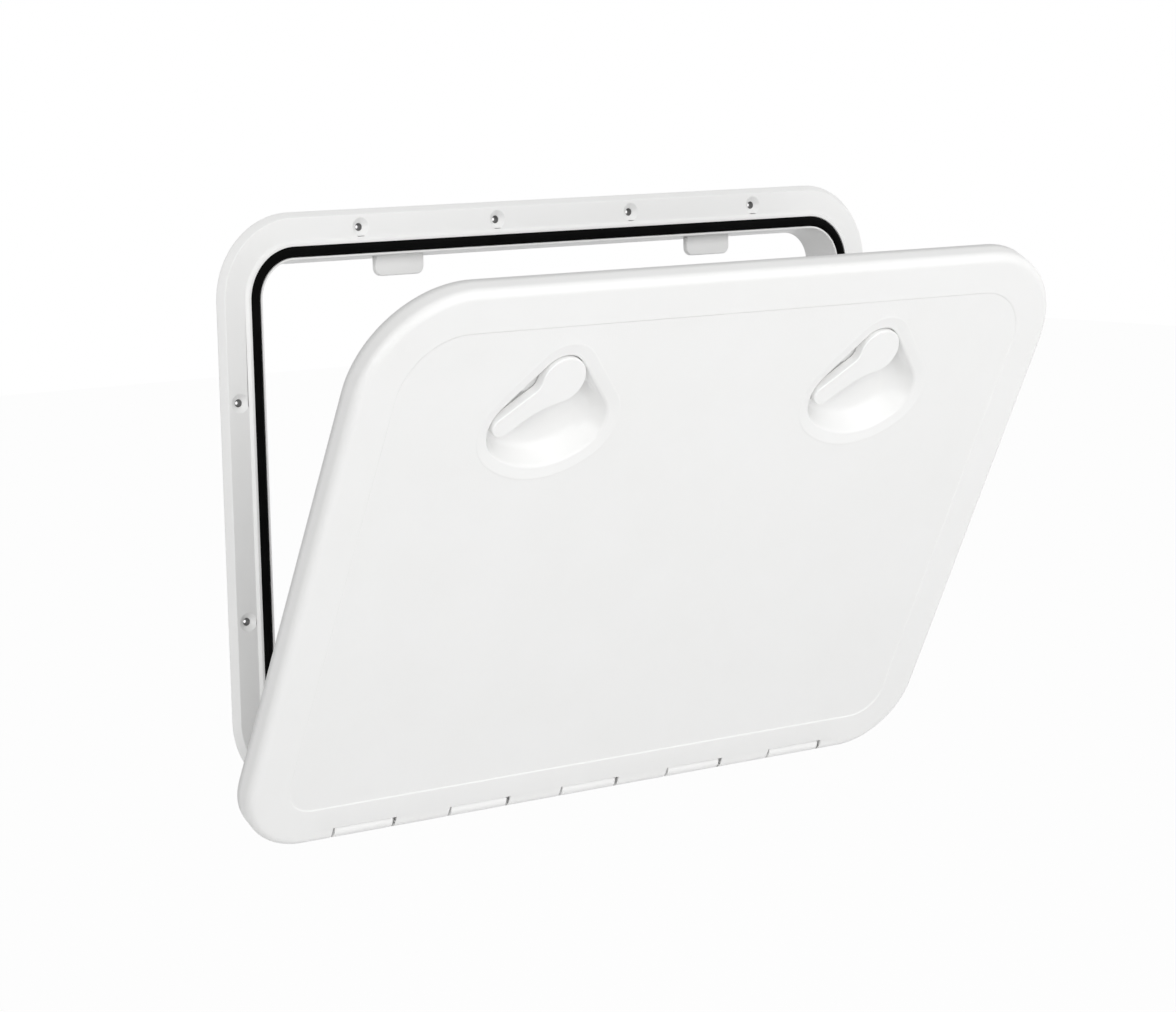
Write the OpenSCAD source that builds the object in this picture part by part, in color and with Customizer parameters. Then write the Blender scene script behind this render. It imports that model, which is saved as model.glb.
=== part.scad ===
// Inspection hatch for a caravan, camper or boat wall.
// Upright: X to the right, Y into the wall, Z up. The wall's surface is the plane y = 0.
// Sections are drawn as [distance inward from the outer edge, y] and swept round a rounded rectangle.

/* [Frame] */
// Width of the frame's flange
frame_w = 600; // [560:5:640]
// Height of the frame's flange
frame_h = 420; // [400:5:440]
// Radius of the flange's corners
frame_r = 61; // [58:1:70]
// Thickness of the flange where the screws sit
flange_t = 6; // [5:0.5:7]
// Depth of the collar behind the wall's surface
collar_depth = 25; // [15:1:40]
// Wall of the collar
collar_t = 2.5; // [2:0.25:3]

/* [Screws] */
// Radius of the screw holes
screw_r = 2.85; // [2:0.05:3]
// Radius of the countersinks at the face
sink_r = 6.8; // [5:0.1:7]
// Distance of the screw holes from the flange's edge
screw_inset = 13; // [12:0.1:14]
// Half distance between the outer screws of a long side
screw_far = 182; // [170:1:190]
// Half distance between the inner screws of a long side
screw_near = 62; // [50:1:80]
// Half distance between the screws of a short side
screw_side = 78; // [50:1:90]

/* [Lid] */
// How far the lid overhangs the flange at each side
side_over = 12; // [10:0.5:16]
// How far it overhangs the flange at the top
top_over = 8; // [8:0.5:14]
// How far it reaches below the flange, where the hinge sits
low_over = 32; // [28:0.5:36]
// Radius of the lid's upper corners
upper_r = 80; // [70:1:90]
// Radius of its lower corners
lower_r = 58; // [50:1:70]
// Distance of the lid's face from the wall
lid_depth = 19; // [18:0.5:22]
// Wall of the lid
lid_t = 3; // [2.5:0.25:3]
// Radius along the lid's front edge
edge_r = 6.5; // [5:0.5:7]
// Width of the smooth border round the grained panel
border_w = 33; // [24:1:36]
// How far the grained panel lies below the border
panel_drop = 0.8; // [0.4:0.1:1]
// Opening angle of the lid as it stands
lid_open = 28; // [0:1:90]

/* [Hinge] */
// Distance between the hinge ears
ear_pitch = 102; // [98:1:106]
// Width of a hinge ear
ear_w = 50; // [40:1:52]
// Gap at each end of an ear
ear_gap = 2.5; // [1:0.5:3]
// Radius of the hinge rod
rod_r = 2; // [1.5:0.25:2.5]

/* [Handles] */
// Half distance between the handles
handle_x = 143.5; // [130:0.5:150]
// Height of the handles above the middle of the frame
handle_z = 142.5; // [138:0.5:144]
// Radius of a lever's hub
hub_r = 18; // [16:0.5:19]
// Distance from the hub to the centre of the lever's rounded tip
lever_len = 53.5; // [50:0.5:55]
// Thickness of a lever
lever_t = 7; // [5:0.5:7]
// Angle of the levers below the horizontal as they stand
lever_dip = 39.5; // [38:0.5:43]
// Depth of the finger bowl below the lid's face
bowl_depth = 16; // [12:0.5:16]

/* [Hidden] */
$fn = 64;

white = [0.94, 0.94, 0.93];
black = [0.06, 0.06, 0.06];
steel = [0.72, 0.73, 0.74];
clear = 0.05;

// Frame section, measured inward from the flange's edge
bevel_w = 3.8;
ridge_start = 19.5;
rim_start = 22.1;
groove_start = 24.1;
groove_end = 32;
lip_end = 33.5;
rim_y = -7.8;
lip_y = -7.5;
groove_y = -4;
collar_draft = 3;
gasket_y = -9.3;
gasket_r = 4.7;

// Lid, as it lies when shut
lid_w = frame_w + 2 * side_over;
lid_h = frame_h + top_over + low_over;
lid_mid = (top_over - low_over) / 2;
lid_low = lid_mid - lid_h / 2;
rim_back = -2;
hinge_y = -lid_depth + edge_r;
hinge_z = lid_low + edge_r;
ear_x = [for (i = [-2:2]) i * ear_pitch];
notch_w = ear_w + 2 * ear_gap;
rod_len = 4 * ear_pitch + notch_w + 10;
arm_y = 5;
ear_arm_t = 3;
notch_h = edge_r + 3.2;
seal_inset = (groove_start + groove_end) / 2 - 1.5;
seal_front = gasket_y - 0.4;

// Strikers under the top of the collar
striker_w = 42;
striker_front = 2.5;
striker_t = 5;
striker_low = 160;

// Handle, measured from the hub's centre
recess_r = 21;
corner_x = 24;
corner_z = -37.5;
corner_r = 27.5;
belly = 8;
floor_inset = 9;
floor_shift = 5;
cup_t = 2.5;
hub_floor = -lid_depth + 6.5;
lever_face = -lid_depth - 1;
spindle_r = 5;
boss_r = 9;
boss_back = 5;
cam_front = striker_front + striker_t + 1;
cam_t = 3;
cam_reach = 27;
tip_r = 8;
neck_fillet = 9;
flare_fillet = 75;

// Runs a section along one side of a rounded rectangle, from one corner to the other; the side is
// given by how far the right-hand one is turned, the corners by their radii
module run(w, h, side, start_r, end_r) {
    upright = side == 0 || side == 180;
    half = (upright ? w : h) / 2;
    length = upright ? h : w;
    rotate([0, side, 0])
        translate([half, 0, -length / 2 + start_r])
            mirror([1, 0, 0])
                linear_extrude(length - start_r - end_r)
                    children();
}

// Sweeps a section round a rounded rectangle of the given outer size and corner radii
module sweep(w, h, top_r, low_r, bottom = true) {
    run(w, h, 0, low_r, top_r)
        children();
    run(w, h, -90, top_r, top_r)
        children();
    run(w, h, 180, top_r, low_r)
        children();
    if (bottom)
        run(w, h, 90, low_r, low_r)
            children();
    for (turn = [[0, 1, -1, low_r], [-90, 1, 1, top_r], [180, -1, 1, top_r], [90, -1, -1, low_r]])
        translate([turn[1] * (w / 2 - turn[3]), 0, turn[2] * (h / 2 - turn[3])])
            rotate([0, turn[0], 0])
                rotate([-90, 0, 0])
                    rotate_extrude(angle = 90)
                        translate([turn[3], 0])
                            mirror([1, 0])
                                children();
}

// Outline of a rounded rectangle
module rounded(w, h, top_r, low_r) {
    translate([-w / 2, -h / 2 + low_r])
        square([w, h - top_r - low_r]);
    for (corner = [[1, top_r], [-1, low_r]]) {
        r = corner[1];
        translate([-w / 2 + r, corner[0] > 0 ? 0 : -h / 2])
            square([w - 2 * r, h / 2]);
        for (sx = [-1, 1])
            translate([sx * (w / 2 - r), corner[0] * (h / 2 - r)])
                circle(r);
    }
}

// A slab parallel to the wall with the given outline in X and Z
module slab(y_front, y_back) {
    translate([0, y_back, 0])
        rotate([90, 0, 0])
            linear_extrude(y_back - y_front)
                children();
}

// A round bar or bore along Y
module bar_y(r, y_front, y_back) {
    translate([0, y_back, 0])
        rotate([90, 0, 0])
            cylinder(r = r, h = y_back - y_front);
}

// Puts what is drawn shut where the open lid carries it
module on_lid() {
    translate([0, hinge_y, hinge_z])
        rotate([lid_open, 0, 0])
            translate([0, -hinge_y, -hinge_z])
                children();
}

module on_handle(side) {
    on_lid()
        translate([side * handle_x, 0, handle_z])
            children();
}

// Frame

module frame_section() {
    polygon([
        [0, 0], [0, -1.5], [bevel_w, -flange_t], [ridge_start, -flange_t],
        [rim_start, rim_y], [groove_start, rim_y], [groove_start, groove_y],
        [groove_end, groove_y], [groove_end, lip_y], [lip_end, lip_y],
        [lip_end + collar_draft, collar_depth],
        [lip_end + collar_draft - collar_t, collar_depth],
        [lip_end + 0.5 - collar_t, 0]
    ]);
}

module screw_hole() {
    bar_y(screw_r, -flange_t - 1, 1);
    translate([0, -flange_t + (sink_r - screw_r), 0])
        rotate([90, 0, 0])
            cylinder(r1 = screw_r, r2 = sink_r + 0.5, h = sink_r - screw_r + 0.5);
}

module frame_moulding() {
    color(white)
        difference() {
            sweep(frame_w, frame_h, frame_r, frame_r)
                frame_section();
            for (sx = [-1, 1])
                for (sz = [-1, 1]) {
                    for (x = [screw_near, screw_far])
                        translate([sx * x, 0, sz * (frame_h / 2 - screw_inset)])
                            screw_hole();
                    translate([sx * (frame_w / 2 - screw_inset), 0, sz * screw_side])
                        screw_hole();
                }
        }
}

module gasket() {
    color(black)
        sweep(frame_w, frame_h, frame_r, frame_r)
            intersection() {
                translate([groove_start, gasket_y - 1])
                    square([groove_end - groove_start, groove_y - gasket_y + 1]);
                union() {
                    translate([(groove_start + groove_end) / 2, gasket_y + gasket_r])
                        circle(gasket_r);
                    translate([groove_start, -6.5])
                        square([groove_end - groove_start, groove_y + 6.5]);
                }
            }
}

// Height of the collar's inner face under its top side, at the given depth
function collar_under(y) = frame_h / 2 - lip_end - collar_draft * (y - lip_y) / (collar_depth - lip_y);

// A catch tab that hangs from the collar, with rounded lower corners; its top follows the draft
module striker(side) {
    corner = 4;
    striker_back = striker_front + striker_t;
    color(white)
        translate([side * handle_x, 0, 0])
            intersection() {
                translate([0, 0, striker_low])
                    slab(striker_front, striker_back) {
                        translate([-striker_w / 2, corner])
                            square([striker_w, 30]);
                        translate([-striker_w / 2 + corner, 0])
                            square([striker_w - 2 * corner, corner + 1]);
                        for (sx = [-1, 1])
                            translate([sx * (striker_w / 2 - corner), corner])
                                circle(corner);
                    }
                translate([-striker_w, 0, 0])
                    rotate([90, 0, 90])
                        linear_extrude(2 * striker_w)
                            polygon([
                                [striker_front - 1, striker_low - 1], [striker_back + 1, striker_low - 1],
                                [striker_back + 1, collar_under(striker_back + 1)],
                                [striker_front - 1, collar_under(striker_front - 1)]
                            ]);
            }
}

// Hinge

// Outline of an ear: a barrel round the hinge line and an arm up to the flange's lower edge
module ear_outline() {
    flange_low = -frame_h / 2;
    translate([hinge_y, hinge_z])
        circle(edge_r);
    polygon([
        [hinge_y + 5, hinge_z - 1.5], [0, flange_low - ear_arm_t], [0, flange_low],
        [-1.5, flange_low], [-arm_y, flange_low + bevel_w * (arm_y - 1.5) / (flange_t - 1.5)],
        [hinge_y + 1, hinge_z + edge_r - 1]
    ]);
}

module hinge_ear(x) {
    color(white)
        translate([x - ear_w / 2, 0, 0])
            rotate([90, 0, 90])
                linear_extrude(ear_w)
                    difference() {
                        ear_outline();
                        translate([hinge_y, hinge_z])
                            circle(rod_r + clear);
                    }
}

module hinge_rod() {
    color(steel)
        translate([-rod_len / 2, hinge_y, hinge_z])
            rotate([0, 90, 0])
                cylinder(r = rod_r, h = rod_len);
}

// Lid

module lid_edge_section() {
    difference() {
        union() {
            translate([0, hinge_y])
                square([border_w, rim_back - hinge_y]);
            translate([edge_r, -lid_depth])
                square([border_w - edge_r, edge_r + 1]);
            translate([edge_r, hinge_y])
                circle(edge_r);
        }
        translate([lid_t, hinge_y])
            square([border_w, 20]);
        translate([edge_r, -lid_depth + lid_t])
            square([border_w, edge_r]);
        translate([edge_r, hinge_y])
            circle(edge_r - lid_t);
    }
}

// Point at the given angle on a circle round the given centre
function on_circle(centre, r, a) = [centre[0] + r * cos(a), centre[1] + r * sin(a)];

function mirrored(points) = [for (i = [len(points) - 1:-1:0]) [-points[i][0], points[i][1]]];

// Round the bottom of the recess: the segment of a large circle between the lower corners
module bottom_arc(grow) {
    belly_z = corner_z - corner_r - belly;
    belly_r = (corner_x * corner_x + pow(corner_z - belly_z, 2) - corner_r * corner_r)
        / (2 * (corner_z - belly_z - corner_r));
    centre = [0, belly_z + belly_r];
    turn = atan2(centre[1] - corner_z, corner_x);
    intersection() {
        translate(centre)
            circle(belly_r + grow);
        polygon([
            [0, 0], on_circle(centre, belly_r + grow, turn - 180),
            on_circle(centre, belly_r + grow + 20, turn - 180),
            on_circle(centre, belly_r + grow + 20, -turn), on_circle(centre, belly_r + grow, -turn)
        ]);
    }
}

// Lower strip of the lid's face, cut back so that it clears the ears' barrels
module lower_strip() {
    run(lid_w, lid_h, 90, lower_r, lower_r)
        polygon([
            [notch_h, -lid_depth], [border_w, -lid_depth],
            [border_w, -lid_depth + lid_t], [notch_h + 2.6, -lid_depth + lid_t]
        ]);
}

// One stretch of the lid's nose, which holds the hinge rod between two notches
module nose_stretch(x_start, x_end) {
    translate([x_start, hinge_y, hinge_z])
        rotate([90, 0, 90])
            linear_extrude(x_end - x_start) {
                circle(edge_r);
                polygon([[-edge_r, 0], [0, 0], [0, edge_r], [lid_t - edge_r, 9], [-edge_r, 9]]);
            }
}

// Outline of a handle's recess, grown by the given amount; its straight sides start a hair inside
// the circles, so that they cross them
module recess_outline(grow) {
    hair = 0.02;
    span = sqrt(corner_x * corner_x + corner_z * corner_z);
    lean = atan2(-corner_z, corner_x);
    tangent = 90 - lean + asin((corner_r - recess_r) / span);
    corner = [corner_x, corner_z];
    right = [
        on_circle([0, 0], recess_r + grow - hair, tangent),
        on_circle(corner, corner_r + grow - hair, tangent),
        on_circle(corner, corner_r + grow - hair, -60)
    ];
    circle(recess_r + grow);
    for (sx = [-1, 1])
        translate([sx * corner_x, corner_z])
            circle(corner_r + grow);
    polygon(concat(right, mirrored(right)));
    bottom_arc(grow);
}

// Finger bowl: the lower part of the recess, drawn in by the given amount. Its floor is shifted
// towards the lever's tip, so that the wall is steep beside the lever and slopes where fingers enter
module bowl_outline(inset) {
    for (sx = [-1, 1])
        translate([sx * corner_x, corner_z])
            circle(corner_r - inset);
    translate([-corner_x, corner_z - corner_r + inset])
        square([2 * corner_x, 2 * (corner_r - inset)]);
    bottom_arc(-inset);
}

module bowl_body(inset, y_front, y_back) {
    hull() {
        slab(y_front, y_front + 0.1)
            bowl_outline(inset);
        slab(y_back - 0.1, y_back)
            translate([-floor_shift, floor_shift])
                bowl_outline(inset + floor_inset);
    }
}

module lid_shell() {
    starts = concat([-lid_w / 2 + lower_r], [for (x = ear_x) x + notch_w / 2]);
    ends = concat([for (x = ear_x) x - notch_w / 2], [lid_w / 2 - lower_r]);
    color(white)
        on_lid()
            difference() {
                union() {
                    difference() {
                        translate([0, 0, lid_mid])
                            sweep(lid_w, lid_h, upper_r, lower_r, false)
                                lid_edge_section();
                        translate([-lid_w, rim_back, lid_low + 32])
                            rotate([190, 0, 0])
                                translate([0, -10, 0])
                                    cube([2 * lid_w, 10, 60]);
                    }
                    translate([0, 0, lid_mid]) {
                        slab(-lid_depth + panel_drop, -lid_depth + lid_t)
                            rounded(lid_w - 2 * border_w, lid_h - 2 * border_w,
                                upper_r - border_w, lower_r - border_w);
                        lower_strip();
                    }
                    for (i = [0:len(starts) - 1])
                        nose_stretch(starts[i], ends[i]);
                }
                translate([-rod_len / 2 - clear, hinge_y, hinge_z])
                    rotate([0, 90, 0])
                        cylinder(r = rod_r + clear, h = rod_len + 2 * clear);
                for (sx = [-1, 1])
                    translate([sx * handle_x, 0, handle_z])
                        slab(-lid_depth - 1, 0)
                            recess_outline(cup_t);
            }
}

module seal_rib() {
    color(white)
        on_lid()
            sweep(frame_w - 2 * seal_inset, frame_h - 2 * seal_inset, frame_r - seal_inset,
                frame_r - seal_inset)
                translate([0, -lid_depth + lid_t])
                    square([lid_t, seal_front + lid_depth - lid_t]);
}

module stiffening_ribs() {
    top = frame_h / 2 - seal_inset - lid_t;
    wide = frame_w / 2 - seal_inset - lid_t;
    color(white)
        on_lid()
            slab(-lid_depth + lid_t, -12) {
                for (x = [-72, 0, 72])
                    translate([x - 1, -top])
                        square([2, 2 * top]);
                for (z = [-120, -45, 30])
                    translate([-wide, z - 1])
                        square([2 * wide, 2]);
            }
}

module handle_cup(side) {
    color(white)
        on_handle(side)
            difference() {
                union() {
                    slab(-lid_depth, hub_floor + cup_t)
                        recess_outline(cup_t);
                    bowl_body(-cup_t, hub_floor, -lid_depth + bowl_depth + cup_t);
                    bar_y(boss_r, hub_floor, boss_back);
                }
                slab(-lid_depth - 1, hub_floor)
                    recess_outline(0);
                bowl_body(0, hub_floor - 1, -lid_depth + bowl_depth);
                bar_y(spindle_r + clear, -lid_depth, boss_back + 1);
            }
}

// One edge of a lever that points along X: straight from the tip, then curving up to the hub
module lever_edge(fillet) {
    fillet_x = sqrt(pow(hub_r + fillet, 2) - pow(tip_r + fillet, 2));
    turn = atan2(tip_r + fillet, fillet_x);
    difference() {
        polygon([[0, 0], [fillet_x, 0], [fillet_x, tip_r], on_circle([0, 0], hub_r, turn)]);
        translate([fillet_x, tip_r + fillet])
            circle(fillet);
    }
    translate([fillet_x, 0])
        square([lever_len - fillet_x, tip_r]);
}

// Outline of a lever: a tight neck above, and a long flare from the tip to the hub below
module lever_outline() {
    circle(hub_r);
    translate([lever_len, 0])
        circle(tip_r);
    lever_edge(flare_fillet);
    mirror([0, 1])
        lever_edge(neck_fillet);
}

module lever(side) {
    color(white)
        on_handle(side)
            rotate([0, -(180 + lever_dip), 0])
                slab(lever_face, lever_face + lever_t)
                    lever_outline();
}

module spindle(side) {
    color(white)
        on_handle(side)
            bar_y(spindle_r, lever_face + lever_t, cam_front + cam_t);
}

module cam(side) {
    color(white)
        on_handle(side)
            rotate([0, 5, 0])
                slab(cam_front, cam_front + cam_t)
                    difference() {
                        union() {
                            circle(boss_r);
                            translate([0, -6])
                                square([cam_reach - 3, 12]);
                            translate([cam_reach - 6, 0])
                                circle(6);
                        }
                        circle(spindle_r);
                    }
}

module cam_screw(side) {
    color(steel)
        on_handle(side)
            bar_y(7, cam_front + cam_t, cam_front + cam_t + 2.5);
}

frame_moulding();
gasket();
striker(-1);  // striker_left
striker(1);  // striker_right
hinge_ear(ear_x[0]);  // hinge_ear_1
hinge_ear(ear_x[1]);  // hinge_ear_2
hinge_ear(ear_x[2]);  // hinge_ear_3
hinge_ear(ear_x[3]);  // hinge_ear_4
hinge_ear(ear_x[4]);  // hinge_ear_5
hinge_rod();
lid_shell();
seal_rib();
stiffening_ribs();
handle_cup(-1);  // handle_cup_left
handle_cup(1);  // handle_cup_right
lever(-1);  // lever_left
lever(1);  // lever_right
spindle(-1);  // spindle_left
spindle(1);  // spindle_right
cam(-1);  // cam_left
cam(1);  // cam_right
cam_screw(-1);  // cam_screw_left
cam_screw(1);  // cam_screw_right
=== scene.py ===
import math

import bmesh
import bpy
from mathutils import Matrix, Vector


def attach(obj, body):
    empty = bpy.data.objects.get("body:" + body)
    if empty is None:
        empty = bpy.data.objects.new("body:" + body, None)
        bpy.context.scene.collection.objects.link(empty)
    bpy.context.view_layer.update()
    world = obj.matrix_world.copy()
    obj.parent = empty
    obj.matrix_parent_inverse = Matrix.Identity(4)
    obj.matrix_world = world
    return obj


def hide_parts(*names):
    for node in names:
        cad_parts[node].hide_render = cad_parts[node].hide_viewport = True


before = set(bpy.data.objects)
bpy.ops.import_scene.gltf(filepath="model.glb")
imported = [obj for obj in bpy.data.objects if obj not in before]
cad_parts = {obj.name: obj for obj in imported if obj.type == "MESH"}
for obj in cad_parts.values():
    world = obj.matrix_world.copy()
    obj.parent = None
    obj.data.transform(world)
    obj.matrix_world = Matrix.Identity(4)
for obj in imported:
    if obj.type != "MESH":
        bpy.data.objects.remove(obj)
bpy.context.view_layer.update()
print("frame loaded,", len(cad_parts), "nodes")

# Shared sizes in millimetres, mostly as the part has them: x to the right, y into the wall,
# z up, and the lid as it lies when shut
hatch = {"width": 600, "height": 420, "cornerR": 61, "flange": 6, "collarDepth": 25}
lid = {"sideOver": 12, "topOver": 8, "lowOver": 32, "upperR": 80, "lowerR": 58, "depth": 19,
       "back": -2, "wall": 3, "edgeR": 6.5, "border": 33, "drop": 0.55, "open": 28}
hinge = {"pitch": 102, "earWidth": 50, "gap": 2.5, "noseTop": 12.2}
handle = {"x": 143.5, "z": 142.5, "hubR": 18, "length": 53.5, "tipR": 8, "thick": 7,
          "dip": 39.5, "proud": 1}

lidWidth = hatch["width"] + 2 * lid["sideOver"]
lidHeight = hatch["height"] + lid["topOver"] + lid["lowOver"]
lidMiddle = (lid["topOver"] - lid["lowOver"]) / 2
lidLow = lidMiddle - lidHeight / 2
panelY = lid["drop"] - lid["depth"]
hingeY = lid["edgeR"] - lid["depth"]
hingeZ = lidLow + lid["edgeR"]
earPlaces = [step * hinge["pitch"] for step in range(-2, 3)]
notchHalf = hinge["earWidth"] / 2 + hinge["gap"]
sides = (("left", -1), ("right", 1))
millimetre = 0.001
close = 0.001  # heights that differ by less are the same
sliver = 0.001  # an inset needs some width, also down a straight wall
weld = 0.002  # vertices nearer to each other than this are joined


# Camera: where the photo was taken from
viewer = {"place": (-1.476, -2.022, 0.3044), "ahead": (0.5896, 0.7972, -0.1299),
          "down": (-0.0965, -0.0902, -0.9912), "focalPx": 3322, "imageWidth": 1176,
          "sensor": 36, "farthest": 50}


def placeCamera():
    data = bpy.data.cameras.new("photoCamera")
    data.sensor_width = viewer["sensor"]
    data.lens = viewer["focalPx"] / viewer["imageWidth"] * data.sensor_width
    data.clip_end = viewer["farthest"]
    camera = bpy.data.objects.new("photoCamera", data)
    bpy.context.scene.collection.objects.link(camera)
    back = -Vector(viewer["ahead"]).normalized()
    up = -Vector(viewer["down"])
    right = up.cross(back).normalized()
    up = back.cross(right)
    turn = Matrix((right, up, back)).transposed()
    camera.matrix_world = Matrix.Translation(viewer["place"]) @ turn.to_4x4()
    bpy.context.scene.camera = camera


placeCamera()
print("camera placed")


# Light: a white room in front of the hatch, a dimmer one behind it, and three weak soft lamps
studio = {"front": 1.11, "behind": 0.4, "frontAt": -0.3, "behindAt": 0.4, "above": 0.55,
          "aboveAt": 0.85, "background": 1.0, "floorZ": -0.62, "floorSize": 14,
          "floorGlow": 0.97, "floorTone": 0.8}
lamps = [{"name": "keyLamp", "place": (0.7, -1.8, -0.35), "aim": (0.05, -0.1, 0.05),
          "size": 1.0, "power": 7},
         {"name": "leftLamp", "place": (-2.1, -1.7, 0.05), "aim": (-0.1, -0.1, 0),
          "size": 1.2, "power": 14},
         {"name": "highLamp", "place": (0.5, -1.8, 1.2), "aim": (0.05, -0.05, 0.15),
          "size": 1.0, "power": 8}]


def grey(value):
    return (value, value, value, 1)


def newMaterial(name):
    material = bpy.data.materials.new(name)
    material.use_nodes = True
    return material, material.node_tree.nodes, material.node_tree.links


def addLamp(lamp):
    data = bpy.data.lights.new(lamp["name"], "AREA")
    data.shape = "SQUARE"
    data.size = lamp["size"]
    data.energy = lamp["power"]
    light = bpy.data.objects.new(lamp["name"], data)
    bpy.context.scene.collection.objects.link(light)
    light.location = lamp["place"]
    aim = Vector(lamp["aim"]) - Vector(lamp["place"])
    light.rotation_euler = aim.to_track_quat("-Z", "Y").to_euler()


def seenByCamera(nodes, links):
    path = nodes.new("ShaderNodeLightPath")
    seen = path.outputs["Is Camera Ray"]
    for ray in ("Is Glossy Ray", "Is Transmission Ray"):  # metal and glass show it too
        either = nodes.new("ShaderNodeMath")
        either.operation = "MAXIMUM"
        links.new(seen, either.inputs[0])
        links.new(path.outputs[ray], either.inputs[1])
        seen = either.outputs[0]
    return seen


# Mixes what lights the object with what the camera sees
def mixSeen(nodes, links, share, lights, shows, output):
    mix = nodes.new("ShaderNodeMixShader")
    links.new(share, mix.inputs[0])
    links.new(lights.outputs[0], mix.inputs[1])
    links.new(shows.outputs[0], mix.inputs[2])
    links.new(mix.outputs[0], nodes.new(output).inputs[0])


def makeRoom():
    world = bpy.data.worlds.new("paleRoom")
    bpy.context.scene.world = world
    world.use_nodes = True
    nodes, links = world.node_tree.nodes, world.node_tree.links
    nodes.clear()
    lighting = nodes.new("ShaderNodeBackground")
    direction = nodes.new("ShaderNodeSeparateXYZ")
    links.new(nodes.new("ShaderNodeTexCoord").outputs["Generated"], direction.inputs[0])
    both = nodes.new("ShaderNodeMath")
    both.operation = "MULTIPLY"
    fades = (("Y", studio["frontAt"], studio["behindAt"], studio["front"], studio["behind"]),
             ("Z", 0, studio["aboveAt"], 1, studio["above"]))
    for slot, (axis, start, end, first, last) in enumerate(fades):
        fade = nodes.new("ShaderNodeMapRange")
        fade.interpolation_type = "SMOOTHSTEP"
        for name, value in (("From Min", start), ("From Max", end), ("To Min", first),
                            ("To Max", last)):
            fade.inputs[name].default_value = value
        links.new(direction.outputs[axis], fade.inputs["Value"])
        links.new(fade.outputs["Result"], both.inputs[slot])
    links.new(both.outputs[0], lighting.inputs["Strength"])
    backdrop = nodes.new("ShaderNodeBackground")
    backdrop.inputs["Strength"].default_value = studio["background"]
    for part in (lighting, backdrop):
        part.inputs["Color"].default_value = grey(1)
    mixSeen(nodes, links, seenByCamera(nodes, links), lighting, backdrop, "ShaderNodeOutputWorld")


def makeFloor():
    shape = bmesh.new()
    bmesh.ops.create_grid(shape, x_segments=1, y_segments=1, size=studio["floorSize"] / 2)
    bmesh.ops.translate(shape, verts=shape.verts, vec=(0, 0, studio["floorZ"]))
    mesh = bpy.data.meshes.new("paleFloor")
    shape.to_mesh(mesh)
    shape.free()
    floor = bpy.data.objects.new("paleFloor", mesh)
    bpy.context.scene.collection.objects.link(floor)
    material, nodes, links = newMaterial("paleFloor")
    nodes.clear()
    matte = nodes.new("ShaderNodeBsdfDiffuse")
    matte.inputs["Color"].default_value = grey(studio["floorTone"])
    glow = nodes.new("ShaderNodeEmission")
    amount = nodes.new("ShaderNodeMath")
    amount.operation = "MULTIPLY"
    amount.inputs[1].default_value = studio["floorGlow"]
    links.new(seenByCamera(nodes, links), amount.inputs[0])
    mixSeen(nodes, links, amount.outputs[0], matte, glow, "ShaderNodeOutputMaterial")
    mesh.materials.append(material)


for lamp in lamps:
    addLamp(lamp)
makeRoom()
makeFloor()
bpy.context.scene.view_settings.view_transform = "Standard"
print("room lit")


# Finishes: sizes are in metres, and the roughness wanders between two values
plastic = {
    "mouldedWhite": {"colour": (0.87, 0.87, 0.865), "rough": 0.34, "grain": 0.004, "bump": 0.03},
    "smoothBorder": {"colour": (0.865, 0.865, 0.86), "rough": 0.38, "grain": 0.003, "bump": 0.03},
    "grainedPanel": {"colour": (0.86, 0.86, 0.855), "rough": 0.48, "grain": 0.0011, "bump": 0.3},
    "bowlWhite": {"colour": (0.862, 0.862, 0.857), "rough": 0.36, "grain": 0.005, "bump": 0.02},
    "leverWhite": {"colour": (0.87, 0.87, 0.865), "rough": 0.31, "grain": 0.012, "bump": 0.01},
    # painted shade: a dark grey that stands in for the shade inside the screw holes
    "paintedBoreShade": {"colour": (0.2, 0.2, 0.2), "rough": 0.6, "grain": 0.002, "bump": 0.05},
    "latchWhite": {"colour": (0.83, 0.83, 0.82), "rough": 0.42, "grain": 0.004, "bump": 0.03}}
moulding = {"cloudSize": 0.06, "cloudTone": (0.988, 0.988, 0.985), "wearSize": 0.009,
            "glossier": 0.03, "duller": 0.05, "grainHeight": 0.0002, "ior": 1.49}
rubber = {"cellSize": 0.0009, "cellHeight": 0.0002, "bump": 0.5, "patchSize": 0.02,
          "tone": (0.0015, 0.004), "rough": (0.9, 0.98), "shine": 0.06}
steel = {"driftSize": 0.004, "dark": (0.6, 0.6, 0.6, 1), "pale": (0.7, 0.7, 0.69, 1),
         "drawn": (60, 4000, 4000), "rough": (0.22, 0.38), "bump": 0.1, "lineHeight": 0.00005}


def noise(nodes, links, vector, size, detail):
    made = nodes.new("ShaderNodeTexNoise")
    made.inputs["Scale"].default_value = 1 / size
    made.inputs["Detail"].default_value = detail
    links.new(vector, made.inputs["Vector"])
    return made.outputs["Fac"]


# Noise stays near its middle, so the ramp runs over the middle part only
def ramp(nodes, links, source, low, high, lowAt=0.3, highAt=0.7):
    made = nodes.new("ShaderNodeValToRGB")
    for element, place, colour in zip(made.color_ramp.elements, (lowAt, highAt), (low, high)):
        element.position = place
        element.color = colour
    links.new(source, made.inputs["Fac"])
    return made.outputs["Color"]


def addBump(nodes, links, source, strength, height):
    bump = nodes.new("ShaderNodeBump")
    bump.inputs["Strength"].default_value = strength
    bump.inputs["Distance"].default_value = height
    links.new(source, bump.inputs["Height"])
    links.new(bump.outputs["Normal"], nodes["Principled BSDF"].inputs["Normal"])


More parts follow.
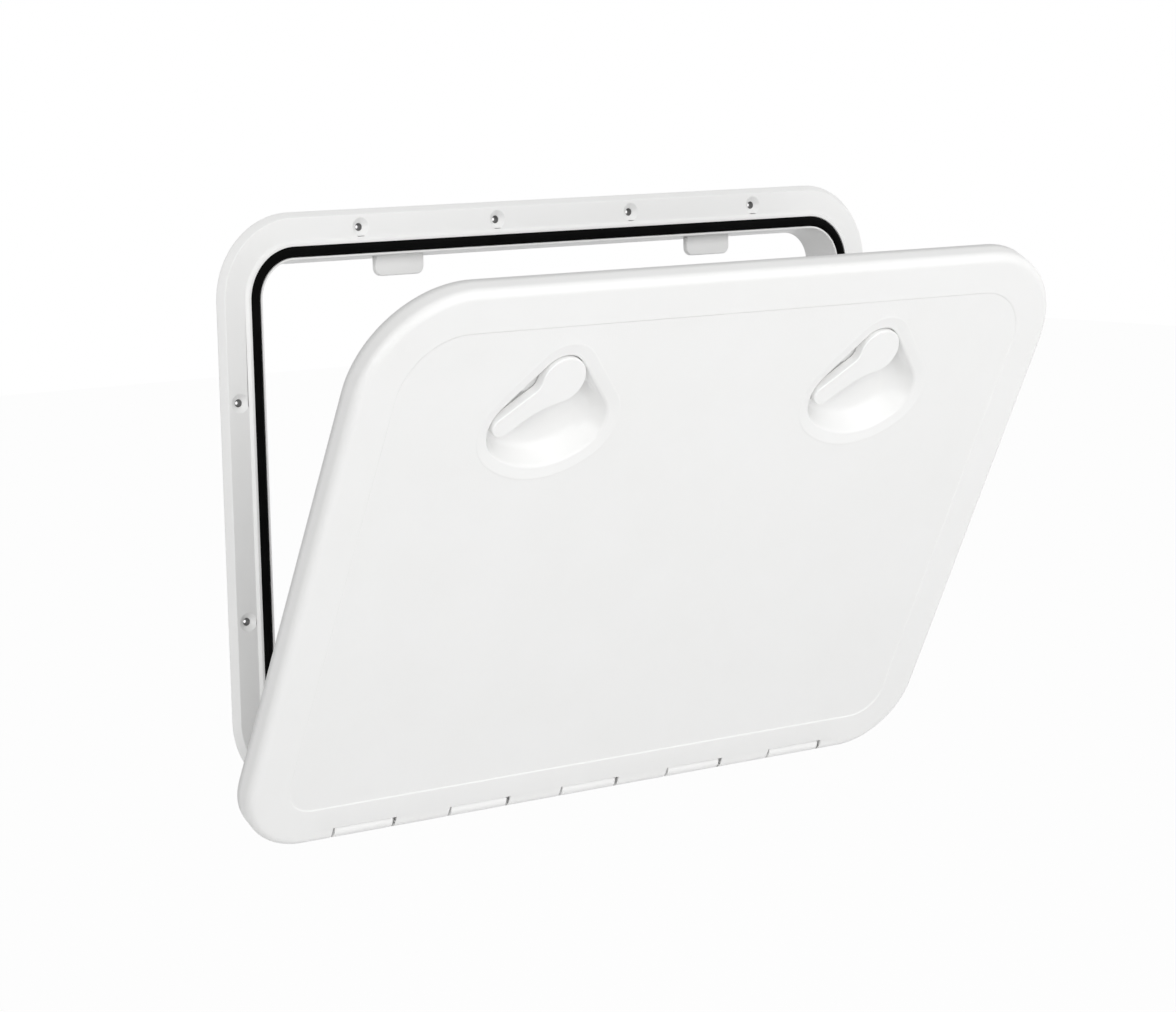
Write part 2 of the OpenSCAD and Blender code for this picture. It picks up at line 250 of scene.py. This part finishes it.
def makePlastic(name):
    finish = plastic[name]
    material, nodes, links = newMaterial(name)
    shader = nodes["Principled BSDF"]
    place = nodes.new("ShaderNodeTexCoord").outputs["Object"]
    clouds = noise(nodes, links, place, moulding["cloudSize"], detail=3)
    low = [part * share for part, share in zip(finish["colour"], moulding["cloudTone"])]
    tone = ramp(nodes, links, clouds, (*low, 1), (*finish["colour"], 1))
    links.new(tone, shader.inputs["Base Color"])
    wear = noise(nodes, links, place, moulding["wearSize"], detail=5)
    roughness = ramp(nodes, links, wear, grey(finish["rough"] - moulding["glossier"]),
                     grey(finish["rough"] + moulding["duller"]))
    links.new(roughness, shader.inputs["Roughness"])
    grain = noise(nodes, links, place, finish["grain"], detail=2)
    addBump(nodes, links, grain, finish["bump"], moulding["grainHeight"])
    shader.inputs["IOR"].default_value = moulding["ior"]
    return material


def makeRubber():
    material, nodes, links = newMaterial("foamRubber")
    shader = nodes["Principled BSDF"]
    place = nodes.new("ShaderNodeTexCoord").outputs["Object"]
    cells = nodes.new("ShaderNodeTexVoronoi")
    cells.inputs["Scale"].default_value = 1 / rubber["cellSize"]
    links.new(place, cells.inputs["Vector"])
    patches = noise(nodes, links, place, rubber["patchSize"], detail=4)
    for socket, (low, high) in (("Base Color", rubber["tone"]), ("Roughness", rubber["rough"])):
        links.new(ramp(nodes, links, patches, grey(low), grey(high)), shader.inputs[socket])
    addBump(nodes, links, cells.outputs["Distance"], rubber["bump"], rubber["cellHeight"])
    shader.inputs["Specular IOR Level"].default_value = rubber["shine"]
    return material


def makeSteel():
    material, nodes, links = newMaterial("stainlessSteel")
    shader = nodes["Principled BSDF"]
    shader.inputs["Metallic"].default_value = 1
    place = nodes.new("ShaderNodeTexCoord").outputs["Object"]
    drift = noise(nodes, links, place, steel["driftSize"], detail=4)
    links.new(ramp(nodes, links, drift, steel["dark"], steel["pale"]), shader.inputs["Base Color"])
    stretch = nodes.new("ShaderNodeMapping")
    stretch.inputs["Scale"].default_value = steel["drawn"]  # fine lines along x
    links.new(place, stretch.inputs["Vector"])
    lines = noise(nodes, links, stretch.outputs["Vector"], 1, detail=2)
    low, high = steel["rough"]
    links.new(ramp(nodes, links, lines, grey(low), grey(high)), shader.inputs["Roughness"])
    addBump(nodes, links, lines, steel["bump"], steel["lineHeight"])
    return material


finishes = {name: makePlastic(name) for name in plastic}
finishes["foamRubber"] = makeRubber()
finishes["stainlessSteel"] = makeSteel()
print("finishes mixed")


# Tools for the pieces
def arc(centreX, centreY, radius, start, end, steps):
    angles = [math.radians(start + (end - start) * i / steps) for i in range(steps + 1)]
    return [(centreX + radius * math.cos(a), centreY + radius * math.sin(a)) for a in angles]


def circle(radius, points):
    return arc(0, 0, radius, 0, 360 - 360 / points, points - 1)


def vertsOf(made):
    return [part for part in made if isinstance(part, bmesh.types.BMVert)]


def edgesOf(made):
    return [part for part in made if isinstance(part, bmesh.types.BMEdge)]


def edgesAt(shape, y):
    return [edge for edge in shape.edges if all(abs(v.co.y - y) < close for v in edge.verts)]


def openEdges(shape, y):
    return [edge for edge in edgesAt(shape, y) if edge.is_boundary]


def removeFlat(shape, y):
    flat = [face for face in shape.faces if all(abs(v.co.y - y) < close for v in face.verts)]
    bmesh.ops.delete(shape, geom=flat, context="FACES_ONLY")


def fillFlat(shape, edges, facing=-1):
    return bmesh.ops.triangle_fill(shape, edges=edges, use_beauty=True, use_dissolve=False,
                                   normal=(0, facing, 0))["geom"]


def soften(shape, edges, width, steps):
    bmesh.ops.bevel(shape, geom=edges, offset=width, segments=steps, affect="EDGES", profile=0.5,
                    material=-1)


def thicken(shape, face, vector):
    made = bmesh.ops.extrude_face_region(shape, geom=[face])["geom"]
    bmesh.ops.translate(shape, verts=vertsOf(made), vec=vector)


# A flat face from (x, z) points, which looks out of the wall
def loopFace(shape, points, centreX, y, centreZ):
    ring = [shape.verts.new((centreX + x, y, centreZ + z)) for x, z in points]
    face = shape.faces.new(ring)
    face.normal_update()
    if face.normal.y > 0:
        face.normal_flip()
    return face


# Sinks a flat face along a profile of (distance inward, depth); the hook may move each new ring
def sinkFace(shape, face, profile, hook=None):
    for here, there in zip(profile, profile[1:]):
        bmesh.ops.inset_region(shape, faces=[face], thickness=there[0] - here[0],
                               depth=here[1] - there[1], use_even_offset=True, use_boundary=True)
        if hook:
            hook(face, here, there)


def pullEdges(shape, edges, vector, steps=1):
    for _ in range(steps):
        made = bmesh.ops.extrude_edge_only(shape, edges=edges)["geom"]
        moved = vertsOf(made)
        bmesh.ops.translate(shape, verts=moved, vec=Vector(vector) / steps)
        edges = [edge for edge in edgesOf(made) if set(edge.verts) <= set(moved)]
    return edges


# Sweeps a section of (distance inward, y) round a rounded rectangle, starting low on the right
def sweepRound(shape, section, width, height, upperR, lowerR, middle=0, closed=True,
               lowCuts=(), turnSteps=28, sideSteps=4, topSteps=6):
    low, high = middle - height / 2, middle + height / 2
    start = [shape.verts.new((width / 2 - inward, y, low + lowerR)) for inward, y in section]
    pairs = list(zip(start, start[1:] + start[:1]))
    edges = [shape.edges.new(pair) for pair in (pairs if closed else pairs[:-1])]

    def corner(edges, centreX, centreZ):
        verts = list({vert for edge in edges for vert in edge.verts})
        turned = bmesh.ops.spin(shape, geom=verts + edges, cent=(centreX, 0, centreZ),
                                axis=(0, 1, 0), angle=-math.pi / 2, steps=turnSteps,
                                use_merge=False, use_duplicate=False)
        return edgesOf(turned["geom_last"])

    edges = pullEdges(shape, edges, (0, 0, height - upperR - lowerR), sideSteps)
    edges = corner(edges, width / 2 - upperR, high - upperR)
    edges = pullEdges(shape, edges, (2 * upperR - width, 0, 0), topSteps)
    edges = corner(edges, upperR - width / 2, high - upperR)
    edges = pullEdges(shape, edges, (0, 0, upperR + lowerR - height), sideSteps)
    edges = corner(edges, lowerR - width / 2, low + lowerR)
    stops = [lowerR - width / 2] + sorted(lowCuts) + [width / 2 - lowerR]
    for here, there in zip(stops, stops[1:]):
        edges = pullEdges(shape, edges, (there - here, 0, 0))
    corner(edges, width / 2 - lowerR, low + lowerR)
    bmesh.ops.remove_doubles(shape, verts=shape.verts, dist=weld)


# Turns a finished shape into a piece in metres; a piece of the lid is swung to where it rests
def finishPiece(shape, name, body, materials, replaced=(), onLid=False):
    bmesh.ops.remove_doubles(shape, verts=shape.verts, dist=weld)
    loose = [edge for edge in shape.edges if not edge.link_faces]
    bmesh.ops.delete(shape, geom=loose, context="EDGES")
    bmesh.ops.recalc_face_normals(shape, faces=shape.faces)
    if onLid:
        bmesh.ops.rotate(shape, verts=shape.verts, cent=(0, hingeY, hingeZ),
                         matrix=Matrix.Rotation(math.radians(lid["open"]), 3, "X"))
    bmesh.ops.scale(shape, verts=shape.verts, vec=(millimetre,) * 3)
    for face in shape.faces:
        face.smooth = True
    mesh = bpy.data.meshes.new(name)
    shape.to_mesh(mesh)
    shape.free()
    piece = bpy.data.objects.new(name, mesh)
    bpy.context.scene.collection.objects.link(piece)
    for material in materials:
        mesh.materials.append(finishes[material])
    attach(piece, body)
    if replaced:
        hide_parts(*replaced)
    return piece


# Large faces stay flat beside their rounded edges
def flatten(piece, weight=90):
    weighted = piece.modifiers.new("evenShading", "WEIGHTED_NORMAL")
    weighted.mode = "FACE_AREA"
    weighted.weight = weight
    weighted.keep_sharp = True


# Frame: the section of its flange, ridge, seal groove, lip and collar runs inward from the edge
frameSection = {"bevel": 3.8, "ridge": 20.3, "rim": 21.8, "groove": 24.1, "grooveEnd": 32,
                "lip": 33.5, "rimY": -7.8, "lipY": -7.5, "grooveY": -4, "draft": 4.5,
                "collarWall": 2.5, "backEdge": 0.15, "edgeR": 1.2, "edgeShift": 0.6,
                "ridgeFoot": 0.8, "ridgeShift": 0.6, "ridgeR": 0.9, "rimR": 0.5,
                "grooveR": 0.35, "lipR": 0.4, "endBevel": (0.3, 0.4),
                "collarRoot": ((0.5, 0.1), (0.4, 0))}
# Screw holes: countersunk, with a soft rim, and narrow behind the screw's seat, where the bore is
# painted dark grey as painted shade for the hole's depth
screwHole = {"boreR": 2.85, "sinkR": 6.8, "inset": 13, "far": 182, "near": 62, "side": 78,
             "soft": 0.25, "softDepth": 0.08, "coneDepth": 2.7, "seatDepth": 2.9, "seatEnd": 5.1,
             "narrowBy": 1.6, "narrowEnd": 5.3, "paintedShadeFrom": 2.8, "paintedShadeOver": 0.1, "points": 40}
seal = {"top": -9.25, "crownR": 3.9, "sideGap": 0.15, "footGap": 0.1}


def frameOutline():
    s = frameSection
    face, depth = -hatch["flange"], hatch["collarDepth"]
    inner = s["lip"] + s["draft"]
    outer = inner - s["collarWall"]
    endX, endY = s["endBevel"]
    return ([(s["backEdge"], 0), (0, -s["backEdge"]), (0, -s["edgeR"])]
            + arc(s["bevel"] + s["edgeShift"], face + s["edgeR"], s["edgeR"], 200, 270, 4)
            + [(s["ridge"] - s["ridgeFoot"], face)]
            + arc(s["ridge"] - s["ridgeShift"], face - s["ridgeR"], s["ridgeR"], 90, 50, 3)
            + arc(s["rim"] + s["rimR"], s["rimY"] + s["rimR"], s["rimR"], 215, 270, 3)
            + arc(s["groove"] - s["grooveR"], s["rimY"] + s["grooveR"], s["grooveR"], 270, 360, 3)
            + [(s["groove"], s["grooveY"]), (s["grooveEnd"], s["grooveY"])]
            + arc(s["grooveEnd"] + s["lipR"], s["lipY"] + s["lipR"], s["lipR"], 180, 270, 3)
            + arc(s["lip"] - s["lipR"], s["lipY"] + s["lipR"], s["lipR"], 270, 360, 3)
            + [(inner, depth - endY), (inner - endX, depth), (outer + endX, depth),
               (outer, depth - endY)]
            + [(s["lip"] + x - s["collarWall"], y) for x, y in s["collarRoot"]])


def holePlaces():
    h = screwHole
    beside = hatch["width"] / 2 - h["inset"]
    above = hatch["height"] / 2 - h["inset"]
    corners = [(-1, -1), (-1, 1), (1, -1), (1, 1)]
    places = ((h["far"], above), (h["near"], above), (beside, h["side"]))
    return [(signX * x, signZ * z) for x, z in places for signX, signZ in corners]


def sinkHole(shape, x, z):
    h = screwHole
    face = -hatch["flange"]
    cone = h["sinkR"] - h["boreR"]
    seat = cone + h["soft"]
    bottom = loopFace(shape, circle(h["sinkR"] + h["soft"], h["points"]), x, face, z)
    sinkFace(shape, bottom, [(0, 0), (h["soft"], h["softDepth"]), (cone, h["coneDepth"]),
                             (seat, h["seatDepth"]), (seat + sliver, h["seatEnd"]),
                             (seat + h["narrowBy"], h["narrowEnd"]),
                             (seat + h["narrowBy"] + sliver, -face)])
    bmesh.ops.delete(shape, geom=[bottom], context="FACES_ONLY")


def makeFrame():
    h = screwHole
    face = -hatch["flange"]
    shape = bmesh.new()
    sweepRound(shape, frameOutline(), hatch["width"], hatch["height"], hatch["cornerR"],
               hatch["cornerR"])
    bmesh.ops.recalc_face_normals(shape, faces=shape.faces)
    for y in (face, 0):
        removeFlat(shape, y)
    # Each hole starts as its rim on the face and sinks to the back
    holes = holePlaces()
    for x, z in holes:
        sinkHole(shape, x, z)
    # The bore's faces behind the seat get the painted shade, a dark grey where the deep hole would
    # be shaded
    for part in shape.faces:
        middle = part.calc_center_median()
        deep = middle.y > face + h["paintedShadeFrom"]
        nearest = min(math.hypot(middle.x - x, middle.z - z) for x, z in holes)
        if deep and nearest < h["boreR"] + h["paintedShadeOver"]:
            part.material_index = 1
    fillFlat(shape, openEdges(shape, face))
    fillFlat(shape, openEdges(shape, 0), 1)
    piece = finishPiece(shape, "frameMoulding", "frame",
                        ["mouldedWhite", "paintedBoreShade"], ["frame_moulding"])
    flatten(piece)


def makeSeal():
    s = frameSection
    middle = (s["groove"] + s["grooveEnd"]) / 2
    half = (s["grooveEnd"] - s["groove"]) / 2 - seal["sideGap"]
    foot = s["grooveY"] - seal["footGap"]
    section = (arc(middle, seal["top"] + seal["crownR"], seal["crownR"], 200, 340, 10)
               + [(middle + half, foot), (middle - half, foot)])
    shape = bmesh.new()
    sweepRound(shape, section, hatch["width"], hatch["height"], hatch["cornerR"],
               hatch["cornerR"])
    finishPiece(shape, "foamSeal", "frame", ["foamRubber"], ["gasket"])


# Strikers: tongues below the collar's top, which the cams catch; their lower corners are round
striker = {"width": 42, "corner": 6, "front": 2.5, "thick": 5, "low": 160.3, "soften": 1.1}


def makeStriker(name, side):
    k = striker
    half = k["width"] / 2
    under = hatch["height"] / 2 - frameSection["lip"] + frameSection["collarWall"]
    outline = (arc(k["corner"] - half, k["low"] + k["corner"], k["corner"], 180, 270, 8)
               + arc(half - k["corner"], k["low"] + k["corner"], k["corner"], 270, 360, 8)
               + [(half, under), (-half, under)])
    shape = bmesh.new()
    face = loopFace(shape, outline, side * handle["x"], k["front"], 0)
    thicken(shape, face, (0, k["thick"], 0))
    bmesh.ops.recalc_face_normals(shape, faces=shape.faces)
    for y in (k["front"], k["front"] + k["thick"]):
        rim = [edge for edge in edgesAt(shape, y)
               if any(v.co.z < under - close for v in edge.verts)]
        soften(shape, rim, k["soften"], 4)
    piece = finishPiece(shape, "striker" + name.capitalize(), "frame",
                        ["mouldedWhite"], ["striker_" + name])
    flatten(piece)


makeFrame()
makeSeal()
for name, side in sides:
    makeStriker(name, side)
print("frame, seal and strikers made")


# Handle recess: a raised ring, a ramp, a lip, and a bowl that leaves a ledge round the hub
recess = {"hubR": 21, "cornerX": 24, "cornerZ": -37.5, "cornerR": 27.5, "belly": 8,
          "ring": ((0.3, 0.25), (1.1, 0.25), (2.1, 0.2)), "rampWidth": 8.5, "rampDepth": 0.7,
          "rampEnd": (1.2, 0.85), "lipR": 3.5, "slope": 60, "ledge": 5.7, "ledgeZ": (-7, -3),
          "ledgeTurn": (8, -12), "ledgeShare": (0.62, 0.5), "footR": 8, "depth": 15.2,
          "drift": 7, "driftPower": 1.3, "hubClearance": 0.7, "easeStart": 10,
          "easeWidth": 28, "ease": 0.74, "boreR": 5.05, "boreBack": 5, "borePoints": 32}


def recessOutline(grow):
    r = recess
    span = math.hypot(r["cornerX"], r["cornerZ"])
    lean = math.degrees(math.atan2(-r["cornerZ"], r["cornerX"]))
    tangent = 90 - lean + math.degrees(math.asin((r["cornerR"] - r["hubR"]) / span))
    lowest = r["cornerZ"] - r["cornerR"] - r["belly"]
    bellyR = ((r["cornerX"] ** 2 + (r["cornerZ"] - lowest) ** 2 - r["cornerR"] ** 2)
              / (2 * (r["cornerZ"] - lowest - r["cornerR"])))
    turn = math.degrees(math.atan2(lowest + bellyR - r["cornerZ"], r["cornerX"]))
    corner = r["cornerR"] + grow
    top = arc(0, 0, r["hubR"] + grow, tangent, 180 - tangent, 28)
    left = arc(-r["cornerX"], r["cornerZ"], corner, 180 - tangent, 180 + turn, 30)
    bottom = arc(0, lowest + bellyR, bellyR + grow, 180 + turn, 360 - turn, 30)[1:-1]
    right = arc(r["cornerX"], r["cornerZ"], corner, -turn, tangent, 30)

    def along(here, there, share):  # a point on a straight side, where the ledge ends
        return tuple(a + (b - a) * share for a, b in zip(here, there))

    leftShare, rightShare = r["ledgeShare"]
    return (top + [along(top[-1], left[0], leftShare)] + left + bottom + right
            + [along(right[-1], top[0], rightShare)])


def rimProfile():
    r = recess
    beforeEnd, reached = r["rampEnd"]
    ramp = ([(0, 0)] + [(x, -rise) for x, rise in r["ring"]]
            + [(r["rampWidth"] - beforeEnd, r["rampDepth"] * reached)])
    lip = [(r["rampWidth"] + x, r["rampDepth"] + r["lipR"] + y)
           for x, y in arc(0, 0, r["lipR"], 270, 270 + r["slope"], 7)]
    lastX, lastY = lip[-1]
    wall = (r["ledge"] - lastY) / math.tan(math.radians(r["slope"]))
    return ramp + lip + [(lastX + wall, r["ledge"])]


def bowlProfile():
    r = recess
    slope = math.radians(r["slope"])
    footDepth = r["footR"] * (1 - math.cos(slope))
    wall = (r["depth"] - r["ledge"] - footDepth) / math.tan(slope)
    footX = wall + r["footR"] * math.sin(slope)
    foot = [(footX + x, r["depth"] - r["footR"] + y)
            for x, y in arc(0, 0, r["footR"], 90 + r["slope"], 90, 9)]
    return [(0, r["ledge"]), (wall / 2, (r["ledge"] + r["depth"] - footDepth) / 2)] + foot


def sinkRecess(shape, side):
    r = recess
    hub = Vector((side * handle["x"], 0, handle["z"]))
    profile = bowlProfile()
    total = profile[-1][0]

    def keepClear(face, here, there):  # the wall stays clear of the lever's hub and tip
        if there[0] <= r["rampWidth"]:
            return
        for vert in face.verts:
            share = min(max((hub.x - vert.co.x - r["easeStart"]) / r["easeWidth"], 0), 1)
            vert.co.x -= r["ease"] * (there[0] - here[0]) * share * share * (3 - 2 * share)
            away = Vector((vert.co.x - hub.x, 0, vert.co.z - hub.z))
            short = handle["hubR"] + r["hubClearance"] - away.length
            if short > 0:
                vert.co += away.normalized() * short

    def drift(face, here, there):  # deeper rings move left, so the right wall slopes gently
        step = (there[0] / total) ** r["driftPower"] - (here[0] / total) ** r["driftPower"]
        bmesh.ops.translate(shape, verts=list(face.verts), vec=(-r["drift"] * step, 0, 0))

    face = loopFace(shape, recessOutline(r["rampWidth"]), hub.x, panelY, hub.z)
    sinkFace(shape, face, rimProfile(), keepClear)
    ledgeY = panelY + r["ledge"]
    ends = [min((v for v in face.verts if (v.co.x - hub.x) * sign > 0),
                key=lambda v: abs(v.co.z - hub.z - height))
            for sign, height in zip((-1, 1), r["ledgeZ"])]
    turnX, turnZ = r["ledgeTurn"]
    other, _ = bmesh.utils.face_split(face, *ends,
                                      coords=[(hub.x + turnX, ledgeY, hub.z + turnZ)])
    lower, upper = sorted((face, other), key=lambda f: f.calc_center_median().z)
    sinkFace(shape, lower, profile, drift)
    # The flat round the hub gets the bore that the spindle turns in
    rim = list(upper.edges)
    bmesh.ops.delete(shape, geom=[upper], context="FACES_ONLY")
    bore = loopFace(shape, circle(r["boreR"], r["borePoints"]), hub.x, ledgeY, hub.z)
    rim += list(bore.edges)
    pullEdges(shape, list(bore.edges), (0, r["boreBack"] - ledgeY, 0))
    bmesh.ops.delete(shape, geom=[bore], context="FACES_ONLY")
    fillFlat(shape, rim)


# Lid skin: rolled edge, smooth border, and a low step down to the grained panel, in points of
# (distance inward from the border's edge, depth behind the face of the border or the panel)
panelStep = {"top": ((-1.6, 0), (-0.9, 0.03)), "foot": ((-0.3, -0.05), (0, -0.01), (1.2, 0))}
skirt = {"cutHeight": 32, "cutTurn": 10}


def makeLid():
    edge, depth, border = lid["edgeR"], lid["depth"], lid["border"]
    section = ([(0, lid["back"]), (0, (lid["back"] + hingeY) / 2)]
               + arc(edge, hingeY, edge, 180, 270, 9)
               + [(edge + 1, -depth), (hinge["noseTop"], -depth)]
               + [(border + x, y - depth) for x, y in panelStep["top"]]
               + [(border + x, y + panelY) for x, y in panelStep["foot"]])
    cuts = [x + side * notchHalf for x in earPlaces for side in (-1, 1)]
    shape = bmesh.new()
    sweepRound(shape, section, lidWidth, lidHeight, lid["upperR"], lid["lowerR"], lidMiddle,
               closed=False, lowCuts=cuts)
    # The hinge side: no skirt behind the nose, and a notch for each ear
    gone = []
    for face in shape.faces:
        middle = face.calc_center_median()
        low = middle.z < lidLow + hinge["noseTop"]
        straight = abs(middle.x) < lidWidth / 2 - lid["lowerR"]
        inNotch = any(abs(middle.x - x) < notchHalf for x in earPlaces)
        if low and straight and (middle.y > hingeY or inNotch):
            gone.append(face)
    bmesh.ops.delete(shape, geom=gone, context="FACES")
    # Near the hinge the skirt is cut back so that it passes the wall when the lid hangs down
    for vert in shape.verts:
        reach = lidLow + skirt["cutHeight"] - vert.co.z
        if reach > 0 and abs(vert.co.y - lid["back"]) < close:
            vert.co.y -= reach * math.tan(math.radians(skirt["cutTurn"]))
    rolled = set(shape.faces)
    for _, side in sides:
        sinkRecess(shape, side)
    for face in shape.faces:
        face.material_index = 0 if face in rolled else 2
    for part in fillFlat(shape, openEdges(shape, panelY)):
        if isinstance(part, bmesh.types.BMFace):
            part.material_index = 1
    piece = finishPiece(shape, "lidSkin", "lid",
                        ["smoothBorder", "grainedPanel", "bowlWhite"],
                        ["lid_shell", "handle_cup_left", "handle_cup_right"], onLid=True)
    wall = piece.modifiers.new("wall", "SOLIDIFY")
    wall.thickness = lid["wall"] * millimetre
    wall.offset = -1
    wall.use_even_offset = False
    flatten(piece)


makeLid()
print("lid skin made")


# Knuckles: the rolled nose between the notches, which carries the rod
knuckle = {"inside": 0.04, "segments": 48, "soften": 0.35}
# Ears: they grow from the flange's lower edge, follow its bevel and hold the rod
ear = {"root": 3, "bevelFrom": 1.5, "top": 5, "round": (75, 345), "soften": 0.4}


def endEdges(edges):
    return [edge for edge in edges if any(len(face.verts) > 4 for face in edge.link_faces)]


def makeKnuckles():
    end = lidWidth / 2 - lid["lowerR"]
    starts = [-end] + [x + notchHalf for x in earPlaces]
    stops = [x - notchHalf for x in earPlaces] + [end]
    radius = lid["edgeR"] - knuckle["inside"]
    shape = bmesh.new()
    for start, stop in zip(starts, stops):
        made = bmesh.ops.create_cone(shape, cap_ends=True, segments=knuckle["segments"],
                                     radius1=radius, radius2=radius, depth=stop - start)["verts"]
        bmesh.ops.rotate(shape, verts=made, cent=(0, 0, 0),
                         matrix=Matrix.Rotation(math.pi / 2, 3, "Y"))
        bmesh.ops.translate(shape, verts=made, vec=((start + stop) / 2, hingeY, hingeZ))
        rims = endEdges(edge for edge in shape.edges
                        if edge.verts[0] in made and len(edge.link_faces) == 2)
        soften(shape, rims, knuckle["soften"], 2)
    piece = finishPiece(shape, "hingeKnuckles", "lid", ["smoothBorder"], onLid=True)
    flatten(piece)


def makeEars():
    low = -hatch["height"] / 2
    up = (frameSection["bevel"] * (ear["top"] - ear["bevelFrom"])
          / (hatch["flange"] - ear["bevelFrom"]))
    outline = (arc(hingeY, hingeZ, lid["edgeR"], *ear["round"], 30)
               + [(0, low - ear["root"]), (0, low), (-ear["bevelFrom"], low),
                  (-ear["top"], low + up)])
    for number, x in enumerate(earPlaces, 1):
        shape = bmesh.new()
        ring = [shape.verts.new((x - hinge["earWidth"] / 2, y, z)) for y, z in outline]
        thicken(shape, shape.faces.new(ring), (hinge["earWidth"], 0, 0))
        soften(shape, endEdges(shape.edges), ear["soften"], 2)
        piece = finishPiece(shape, "hingeEar" + str(number), "frame",
                            ["mouldedWhite"], ["hinge_ear_" + str(number)])
        flatten(piece)


makeKnuckles()
makeEars()
print("hinge made")


# Levers: a tight neck above, a long flare from the tip to the hub below, and softened edges
lever = {"neck": 9, "flare": 75, "soften": 0.9, "ring": 0.4, "softenBack": 0.5}


def leverOutline():
    hub, tip, length = handle["hubR"], handle["tipR"], handle["length"]

    def fillet(radius):
        x = math.sqrt((hub + radius) ** 2 - (tip + radius) ** 2)
        return x, math.degrees(math.atan2(tip + radius, x))

    flareX, flareTurn = fillet(lever["flare"])
    neckX, neckTurn = fillet(lever["neck"])
    return (arc(length, 0, tip, -90, 90, 20)
            + arc(flareX, tip + lever["flare"], lever["flare"], 270, 180 + flareTurn, 16)
            + arc(0, 0, hub, flareTurn, 360 - neckTurn, 60)[1:-1]
            + arc(neckX, -tip - lever["neck"], lever["neck"], 180 - neckTurn, 90, 10))


def makeLever(name, side):
    front = -lid["depth"] - handle["proud"]
    back = front + handle["thick"]
    shape = bmesh.new()
    face = loopFace(shape, leverOutline(), 0, front, 0)
    thicken(shape, face, (0, handle["thick"], 0))
    soften(shape, edgesAt(shape, front), lever["soften"], 4)
    # A narrow flat ring inside the soft edge keeps the big face evenly shaded
    top = max(shape.faces, key=lambda f: len(f.verts) - f.calc_center_median().y)
    bmesh.ops.inset_region(shape, faces=[top], thickness=lever["ring"], use_even_offset=True)
    soften(shape, edgesAt(shape, back), lever["softenBack"], 2)
    bmesh.ops.rotate(shape, verts=shape.verts, cent=(0, 0, 0),
                     matrix=Matrix.Rotation(-math.radians(180 + handle["dip"]), 3, "Y"))
    bmesh.ops.translate(shape, verts=shape.verts, vec=(side * handle["x"], 0, handle["z"]))
    piece = finishPiece(shape, "lever" + name.capitalize(), "handle_" + name,
                        ["leverWhite"], ["lever_" + name], onLid=True)
    flatten(piece)


for name, side in sides:
    makeLever(name, side)
print("levers made")


# The pieces that stay as the part has them get their finish; a longer name comes first
kept = {"hinge_rod": "stainlessSteel", "cam_screw": "stainlessSteel",
        "cam": "latchWhite", "spindle": "latchWhite", "seal_rib": "smoothBorder",
        "stiffening_ribs": "smoothBorder"}


def finishKept():
    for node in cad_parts:
        for start, finish in kept.items():
            if node.startswith(start):
                piece = bpy.data.objects[node]
                piece.data.materials.clear()
                piece.data.materials.append(finishes[finish])
                break


finishKept()
print("kept pieces finished")
